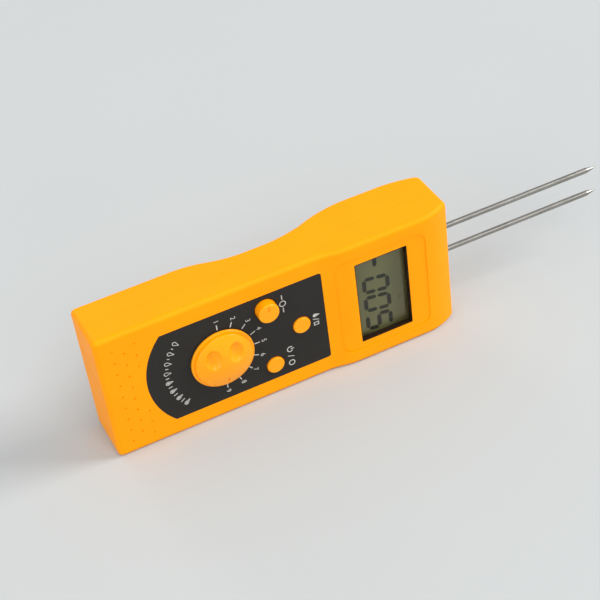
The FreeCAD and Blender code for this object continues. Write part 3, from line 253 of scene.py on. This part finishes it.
def circuit_board(name):
    """Solder mask over tracks that follow the edges of a cell pattern."""
    n = Nodes(name)
    cells = n.add("ShaderNodeTexVoronoi", feature="DISTANCE_TO_EDGE")
    cells.inputs["Scale"].default_value = TRACK_CELLS
    n.link(n.place, cells.inputs["Vector"])
    tracks = n.fade(cells.outputs["Distance"], WHITE, BLACK, TRACK_BAND)
    n.set(Base_Color=n.mix(tracks, TRACK_GREEN, BOARD_GREEN), Roughness=0.32)
    n.set(Normal=n.bump(tracks, TRACK_HEIGHT, strength=0.5))
    return n.material


COPPER_START = 0.7
COPPER_EDGE = 0.0002


def battery_skin(name):
    """A printed steel jacket: dark with a plain copper-coloured band at the terminal end."""
    n = Nodes(name)
    edge = BATTERY_LOW.z + (BATTERY_HIGH.z - BATTERY_LOW.z) * COPPER_START
    band = n.grey(n.axis("Z"), *FULL_BAND, (edge, edge + COPPER_EDGE))
    n.set(Base_Color=n.mix(band, JACKET_DARK, JACKET_COPPER), Metallic=0.35)
    n.set(Roughness=n.grey(n.noise(300, detail=3), low=0.25, high=0.4))
    n.set(Normal=n.bump(n.noise(700, detail=3), distance=0.00002, strength=0.3))
    return n.material


CLEAR_IOR = 1.33


def clear_plastic(name):
    """A clean lens with faint handling marks in its gloss."""
    n = Nodes(name)
    n.set(Base_Color=CLEAR_TINT, Transmission_Weight=1.0, IOR=CLEAR_IOR)
    n.set(Roughness=n.grey(n.noise(500, detail=3), low=0.02, high=0.06))
    n.set(Normal=n.bump(n.noise(120), distance=0.00001, strength=0.2))
    return n.material


LCD_STOPS = (0.0, 0.55, 1.0)
SPECKLE_TONE = 0.94
SPECKLE_BAND = (0.35, 0.65)


def lcd_glass(name):
    """Reflective display: a green-grey field with painted shade that darkens it towards the pin
    end, where the deep window's wall shades it.
    """
    n = Nodes(name)
    across = n.grey(n.axis("X"), *FULL_BAND, (GLASS_LOW.x, GLASS_HIGH.x))
    # The ramp paints shade onto the field, darker towards the pin end of the glass.
    field = n.ramp(across, list(zip(LCD_STOPS, LCD_FIELD_AND_SHADE)))
    speckle = n.fade(n.noise(2200), tone(WHITE, SPECKLE_TONE), WHITE, SPECKLE_BAND)
    n.set(Base_Color=n.mix(1.0, field, speckle, "MULTIPLY"), Specular_IOR_Level=0.2)
    n.set(Roughness=n.grey(n.noise(600), low=0.25, high=0.35))
    n.set(Normal=n.bump(n.noise(1500), distance=0.000006, strength=0.3))
    return n.material


PRINT_WEAR = 0.82


def ink(name):
    """Screen-printed ink, a little worn."""
    n = Nodes(name)
    n.set(Base_Color=n.fade(n.noise(1800, detail=3), tone(PRINT_GREY, PRINT_WEAR), PRINT_GREY))
    n.set(Roughness=0.6, Normal=n.bump(n.noise(4000), distance=0.00001, strength=0.3))
    return n.material


def crystal(name, colours):
    """A liquid-crystal segment."""
    n = Nodes(name)
    n.set(Base_Color=n.fade(n.noise(900), *colours))
    n.set(Roughness=n.grey(n.noise(1200), low=0.3, high=0.45, band=NOISE_BAND))
    n.set(Specular_IOR_Level=0.08)
    return n.material


PLASTICS = {
    "case_plastic": dict(colour=CASE_ORANGE, roughness=0.46, specular=0.1),
    "knob_plastic": dict(colour=KNOB_ORANGE, roughness=0.27, grain=0.000006, grain_scale=3400,
                         specular=0.28),
    "label_film": dict(colour=LABEL_BLACK, roughness=0.55, grain=0.00001, grain_scale=4200,
                       mottle=0.08, specular=0.16),
    "black_plastic": dict(colour=GASKET_BROWN, roughness=0.5, specular=0.12),
    "white_plastic": dict(colour=IVORY, roughness=0.45),
    "zebra_rubber": dict(colour=RUBBER_GREY, roughness=0.7),
    "foam": dict(colour=FOAM_GREY, roughness=0.95, grain=0.0003, grain_scale=900),
    "wire_red": dict(colour=WIRE_RED, roughness=0.4),
    "wire_black": dict(colour=WIRE_BLACK, roughness=0.4),
}
METALS = {
    "steel_pin": dict(colour=PIN_STEEL, roughness=0.3, along="x"),
    "plated_steel": dict(colour=PLATED_STEEL, roughness=0.34, along="y"),
    "brass_part": dict(colour=BRASS, roughness=0.32, along="y"),
}
OTHERS = {
    "circuit_board": circuit_board,
    "battery_skin": battery_skin,
    "clear_plastic": clear_plastic,
    "lcd": lcd_glass,
}


def dress_nodes():
    """Give every node of the frame the finish of its material slot."""
    made = {name: moulded(name, **finish) for name, finish in PLASTICS.items()}
    made.update({name: brushed(name, **finish) for name, finish in METALS.items()})
    made.update({name: make(name) for name, make in OTHERS.items()})
    for piece in frame["record"]["subparts"]:
        node = frame["nodes"][piece["node"]]
        node.data.materials.clear()
        node.data.materials.append(made[piece["material_slot"]])


# ---------------------------------------------------------------- mesh helpers
def new_piece(name, mesh, material):
    """A piece that rides on the case."""
    mesh.name = name
    piece = bpy.data.objects.new(name, mesh)
    bpy.context.scene.collection.objects.link(piece)
    mesh.materials.clear()
    mesh.materials.append(material)
    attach(piece, "case")


def prisms(outlines, front_y, thickness):
    """Thin raised shapes: each outline is a list of (x, z) points, counted round once."""
    work = bmesh.new()
    for points in outlines:
        front = [work.verts.new((x, front_y, z)) for x, z in points]
        back = [work.verts.new((x, front_y + thickness, z)) for x, z in points]
        work.faces.new(front)
        work.faces.new(list(reversed(back)))
        for index in range(len(points)):
            other = (index + 1) % len(points)
            work.faces.new((front[other], front[index], back[index], back[other]))
    bmesh.ops.recalc_face_normals(work, faces=work.faces)
    mesh = bpy.data.meshes.new("prisms")
    work.to_mesh(mesh)
    work.free()
    return mesh


def polar(radius, angle):
    """The (x, z) point at this distance from the selector knob's axis."""
    return KNOB.x + radius * math.cos(angle), KNOB.z + radius * math.sin(angle)


def shrunk(points, x, z, share):
    """The same outline drawn smaller about (x, z)."""
    return [(x + (a - x) * share, z + (b - z) * share) for a, b in points]


def outlined(points, x, z, share):
    """The band between an outline and the same outline drawn smaller about (x, z)."""
    inner = shrunk(points, x, z, share)
    count = len(points)
    return [[points[k], points[(k + 1) % count], inner[(k + 1) % count], inner[k]]
            for k in range(count)]


def bar(x, z, length, width, angle=0.0):
    """A rectangle about (x, z), its length along the angle from +X towards +Z."""
    along = Vector((math.cos(angle), math.sin(angle))) * length / 2
    side = Vector((-math.sin(angle), math.cos(angle))) * width / 2
    centre = Vector((x, z))
    corners = ((-1, -1), (1, -1), (1, 1), (-1, 1))
    return [tuple(centre + a * along + b * side) for a, b in corners]


def ring(x, z, outer, inner, start=0.0, sweep=2 * math.pi, steps=40):
    """Quads of a ring or part of one."""
    quads = []
    for index in range(steps):
        a = start + sweep * index / steps
        b = start + sweep * (index + 1) / steps
        quads.append([(x + r * math.cos(t), z + r * math.sin(t))
                      for r, t in ((inner, a), (outer, a), (outer, b), (inner, b))])
    return quads


DROP_POINT = 0.25
DROP_WIDTH = 0.85
DROP_TAPER = 0.35


def drop(x, z, size, angle, steps=20):
    """A plain water drop whose point lies along the angle."""
    points = []
    for index in range(steps):
        t = 2 * math.pi * index / steps
        ahead = max(math.cos(t), 0)
        reach = size * (math.cos(t) + DROP_POINT * (1 + ahead) ** 2 * ahead ** 3)
        wide = size * DROP_WIDTH * math.sin(t) * (1 - DROP_TAPER * ahead)
        points.append((x + reach * math.cos(angle) - wide * math.sin(angle),
                       z + reach * math.sin(angle) + wide * math.cos(angle)))
    return points


# ---------------------------------------------------------------- panel printing
PRINT_RISE = 0.00004
PRINT_SINK_SHARE = 1.5
TICKS = 9
TICK_RADIUS = 15.8 * MM
TICK_LENGTH = 2.5 * MM
TICK_WIDTH = 0.5 * MM
NUMBER_RADIUS = 18.9 * MM
NUMBER_SIZE = 3.1 * MM
DROPS = 8
DROPS_EMPTY = 4
DROP_RADIUS = 24.6 * MM
DROP_SIZE = 1.15 * MM
DROP_START = 139
DROP_SWEEP = 82
DROP_OUTLINE = 0.68
DROP_FILL = 0.5
DASH_RADIUS = 24.4 * MM
DASH_LENGTH = 0.9
DASH_GROWTH = 0.2
DASH_WIDTH = 0.42 * MM
SLASH_LENGTH = 3.0 * MM
SLASH_WIDTH = 0.34 * MM
SLASH_ANGLE = math.radians(-20)
STROKE = 0.45 * MM
ZERO_SYMBOL = (ZERO.x + 7.6 * MM, ZERO.z - 0.8 * MM)
ZERO_RING = (1.55 * MM, 1.1 * MM)
ZERO_BAR_REACH = 3.3 * MM
ZERO_BAR_WIDTH = 2.4 * MM
POWER_SYMBOL = (POWER.x + 7.4 * MM, POWER.z + 1.2 * MM)
POWER_RING = (1.5 * MM, 1.05 * MM)
POWER_OPENING = (math.radians(40), math.radians(280))
CLOSED_RING_REACH = 3.6 * MM
OPEN_RING_REACH = 3.8 * MM
OPEN_RING_STEM = 1.6 * MM
OPEN_RING_STEM_REACH = 1.0 * MM
MODE_SYMBOL = (MODE.x + 6.6 * MM, MODE.z)
MODE_REACH = 2.2 * MM
MODE_DROP_SIZE = 1.05 * MM
MODE_DROP_SHIFT = 0.2 * MM
MODE_BLOCK = (2.4 * MM, 1.8 * MM)
MODE_BLOCK_HOLLOW = 0.6


def slash(x, z):
    return bar(x, z, SLASH_LENGTH, SLASH_WIDTH, SLASH_ANGLE)


def moisture_scale():
    """Drops on an arc beside the dial, from empty to full, with growing dashes between."""
    shapes = []
    step = DROP_SWEEP / (DROPS - 1)
    for index in range(DROPS):
        angle = math.radians(DROP_START + step * index)
        x, z = polar(DROP_RADIUS, angle)
        points = drop(x, z, DROP_SIZE, angle + math.pi)
        shapes += outlined(points, x, z, DROP_OUTLINE)
        if index >= DROPS_EMPTY:
            shapes.append(shrunk(points, x, z, DROP_FILL))
        if index < DROPS - 1:
            between = angle + math.radians(step / 2)
            length = (DASH_LENGTH + DASH_GROWTH * index) * MM
            shapes.append(bar(*polar(DASH_RADIUS, between), length, DASH_WIDTH, between))
    return shapes


def zero_symbol():
    """A ring between two bars, beside the zero trimmer."""
    x, z = ZERO_SYMBOL
    shapes = ring(x, z, *ZERO_RING)
    for side in (-1, 1):
        shapes.append(bar(x, z + side * ZERO_BAR_REACH, STROKE, ZERO_BAR_WIDTH))
    return shapes


def power_symbol():
    """A ring, a slash and the usual open ring with a stem, beside the power button."""
    x, z = POWER_SYMBOL
    open_z = z + OPEN_RING_REACH
    shapes = ring(x, z - CLOSED_RING_REACH, *POWER_RING)
    shapes.append(slash(x, z))
    shapes += ring(x, open_z, *POWER_RING, *POWER_OPENING)
    shapes.append(bar(x + OPEN_RING_STEM_REACH, open_z, OPEN_RING_STEM, STROKE))
    return shapes


def mode_symbol():
    """A drop, a slash and a hollow block, beside the mode button."""
    x, z = MODE_SYMBOL
    block_z = z - MODE_REACH
    shapes = [drop(x - MODE_DROP_SHIFT, z + MODE_REACH, MODE_DROP_SIZE, 0), slash(x, z)]
    shapes += outlined(bar(x, block_z, *MODE_BLOCK), x, block_z, MODE_BLOCK_HOLLOW)
    return shapes


def number(text, x, z, material):
    """One dial number, standing along +X and reading towards -Z."""
    name = f"dial_number_{text}"
    curve = bpy.data.curves.new(name, "FONT")
    curve.body = text
    curve.size = NUMBER_SIZE
    curve.align_x, curve.align_y = "CENTER", "CENTER"
    curve.extrude = PRINT_RISE / 2
    holder = bpy.data.objects.new(name, curve)
    mesh = bpy.data.meshes.new_from_object(holder)
    bpy.data.objects.remove(holder)
    y = PANEL_Y - PRINT_RISE / 2
    mesh.transform(Matrix(((0, 1, 0, x), (0, 0, -1, y), (-1, 0, 0, z), (0, 0, 0, 1))))
    new_piece(name, mesh, material)


def panel_print(material):
    """Everything printed on the label: the drop scale, dial ticks, key symbols and numbers."""
    angles = [math.pi * (0.5 - index / (TICKS - 1)) for index in range(TICKS)]
    shapes = moisture_scale()
    for angle in angles:
        shapes.append(bar(*polar(TICK_RADIUS, angle), TICK_LENGTH, TICK_WIDTH, angle))
    shapes += zero_symbol() + power_symbol() + mode_symbol()
    mesh = prisms(shapes, PANEL_Y - PRINT_RISE, PRINT_RISE * PRINT_SINK_SHARE)
    new_piece("label_print", mesh, material)
    for index, angle in enumerate(angles, start=1):
        number(str(index), *polar(NUMBER_RADIUS, angle), material)


# ---------------------------------------------------------------- display
SEGMENTS = {"0": "abcdef", "5": "afgcd"}
READING = "005"
DIGIT_HEIGHT = 10.9 * MM
DIGIT_WIDTH = 6.9 * MM
DIGIT_PITCH = 9.9 * MM
DIGIT_STROKE = 1.9 * MM
DIGIT_GAP = DIGIT_STROKE * 0.12
DIGIT_SLANT = 0.147
DIGIT_BASE = OPENING_X + 5.0 * MM
DIGIT_START = 8.4 * MM
SEGMENT_RISE = 0.00003
SEGMENT_THICKNESS = 0.00005
SIGN_OUTLINE = ((-0.95, 2.3), (0.95, 2.3), (0.95, -1.2), (0, -2.4), (-0.95, -1.2))
SIGN_PLACE = (DIGIT_BASE + 5.8 * MM, MIDDLE_Z + 15.6 * MM)
UNIT_PLACE = (DIGIT_BASE + 16.3 * MM, MIDDLE_Z - 7.3 * MM)
UNIT_STROKE = (2.6 * MM, 0.35 * MM)
UNIT_ANGLE = math.radians(-35)
UNIT_DOT = 0.7 * MM
UNIT_DOT_REACH = (0.75 * MM, 0.85 * MM)
UPPER_ARM = 1.5
LOWER_ARM = 0.5


def seven_segment(symbol, z_left):
    """Bars of a digit that stands along +X and reads towards -Z."""
    half = DIGIT_HEIGHT / 2
    centre = DIGIT_WIDTH / 2
    spots = {
        "a": (DIGIT_HEIGHT, centre, "across"),
        "g": (half, centre, "across"),
        "d": (0, centre, "across"),
        "f": (half * UPPER_ARM, 0, "up"),
        "b": (half * UPPER_ARM, DIGIT_WIDTH, "up"),
        "e": (half * LOWER_ARM, 0, "up"),
        "c": (half * LOWER_ARM, DIGIT_WIDTH, "up"),
    }
    wide = DIGIT_STROKE / 2
    shapes = []
    for letter in SEGMENTS[symbol]:
        up, over, way = spots[letter]
        reach = (DIGIT_WIDTH if way == "across" else half) / 2 - DIGIT_GAP
        tip = reach - wide
        local = [(-reach, 0), (-tip, wide), (tip, wide), (reach, 0), (tip, -wide), (-tip, -wide)]
        if way == "up":
            points = [(up + a, over + b) for a, b in local]
        else:
            points = [(up + b, over + a) for a, b in local]
        shapes.append([(DIGIT_BASE + u, z_left - o - DIGIT_SLANT * u) for u, o in points])
    return shapes


def display_piece(name, shapes, material):
    mesh = prisms(shapes, GLASS_LOW.y - SEGMENT_RISE, SEGMENT_THICKNESS)
    new_piece(name, mesh, material)


def display_marks(segment, faint_segment):
    """The liquid-crystal segments: a reading, a sign bar and a small unit mark."""
    shapes = []
    for index, symbol in enumerate(READING):
        shapes += seven_segment(symbol, MIDDLE_Z + DIGIT_START - DIGIT_PITCH * index)
    x, z = SIGN_PLACE
    shapes.append([(x + a * MM, z + b * MM) for a, b in SIGN_OUTLINE])
    display_piece("display_segments", shapes, segment)
    x, z = UNIT_PLACE
    marks = [bar(x, z, *UNIT_STROKE, UNIT_ANGLE)]
    reach_x, reach_z = UNIT_DOT_REACH
    for side in (-1, 1):
        marks.append(bar(x + side * reach_x, z + side * reach_z, UNIT_DOT, UNIT_DOT))
    display_piece("display_unit_mark", marks, faint_segment)


# ---------------------------------------------------------------- setting
FLOOR_SIZE = 12
WORLD_COLOUR = (0.94, 0.97, 1.0, 1.0)
WORLD_STRENGTH = 0.64
LIGHTS = (
    dict(name="window", place=(3.6, -1.0, 2.9), aim=0.02, size=1.95, power=160.0,
         colour=(1.0, 0.985, 0.96)),
    dict(name="overhead", place=(0.2, -4.0, 4.0), aim=0.03, size=3.3, power=136.0,
         colour=(1.0, 0.99, 0.975)),
    dict(name="left_fill", place=(-2.6, -1.1, 1.0), aim=0.03, size=2.0, power=31.0,
         colour=(1.0, 0.97, 0.94)),
    dict(name="rear_fill", place=(-0.5, 3.4, 0.62), aim=0.03, size=1.1, power=26.0,
         colour=(1.0, 0.985, 0.97)),
)
CAMERA_PLACE = Vector((-0.1676, -0.4783, 0.4546))
CAMERA_AZIMUTH = math.radians(20.71)
CAMERA_DROP = math.radians(39.5)
CAMERA_ROLL = math.radians(-8.23)
CAMERA_LENS = 94.4
CAMERA_SENSOR = 36
CAMERA_CLIP = (0.01, 50)


def make_floor():
    n = Nodes("floor")
    n.set(Base_Color=n.fade(n.noise(3), *FLOOR_COLOURS))
    grain = n.noise(900, detail=3)
    n.set(Roughness=0.7, Normal=n.bump(grain, distance=0.00003, strength=0.1))
    bpy.ops.mesh.primitive_plane_add(size=FLOOR_SIZE)
    floor = bpy.context.object
    floor.name = "floor"
    floor.data.materials.append(n.material)


def area_light(name, place, aim, size, power, colour):
    """A soft square light that points at a height above the origin."""
    light = bpy.data.lights.new(name, "AREA")
    light.energy = power
    light.size = size
    light.color = colour
    holder = bpy.data.objects.new(name, light)
    bpy.context.scene.collection.objects.link(holder)
    holder.location = place
    beam = Vector((0, 0, aim)) - Vector(place)
    holder.rotation_euler = beam.to_track_quat("-Z", "Y").to_euler()


def make_light():
    world = bpy.data.worlds.new("studio")
    world.use_nodes = True
    background = world.node_tree.nodes["Background"]
    background.inputs["Color"].default_value = WORLD_COLOUR
    background.inputs["Strength"].default_value = WORLD_STRENGTH
    bpy.context.scene.world = world
    for light in LIGHTS:
        area_light(**light)


def make_camera():
    data = bpy.data.cameras.new("camera")
    data.sensor_width = CAMERA_SENSOR
    data.lens = CAMERA_LENS
    data.clip_start, data.clip_end = CAMERA_CLIP
    camera = bpy.data.objects.new("camera", data)
    bpy.context.scene.collection.objects.link(camera)
    camera.location = CAMERA_PLACE
    turn = Matrix.Rotation(-CAMERA_AZIMUTH, 4, "Z")
    turn = turn @ Matrix.Rotation(math.pi / 2 - CAMERA_DROP, 4, "X")
    camera.rotation_mode = "QUATERNION"
    camera.rotation_quaternion = (turn @ Matrix.Rotation(CAMERA_ROLL, 4, "Z")).to_quaternion()
    bpy.context.scene.camera = camera
    bpy.context.scene.view_settings.view_transform = "Standard"


make_camera()
dress_nodes()
panel_print(ink("print_ink"))
display_marks(crystal("lcd_segment", SEGMENT_COLOURS),
              crystal("lcd_faint_segment", FAINT_COLOURS))
make_floor()
make_light()
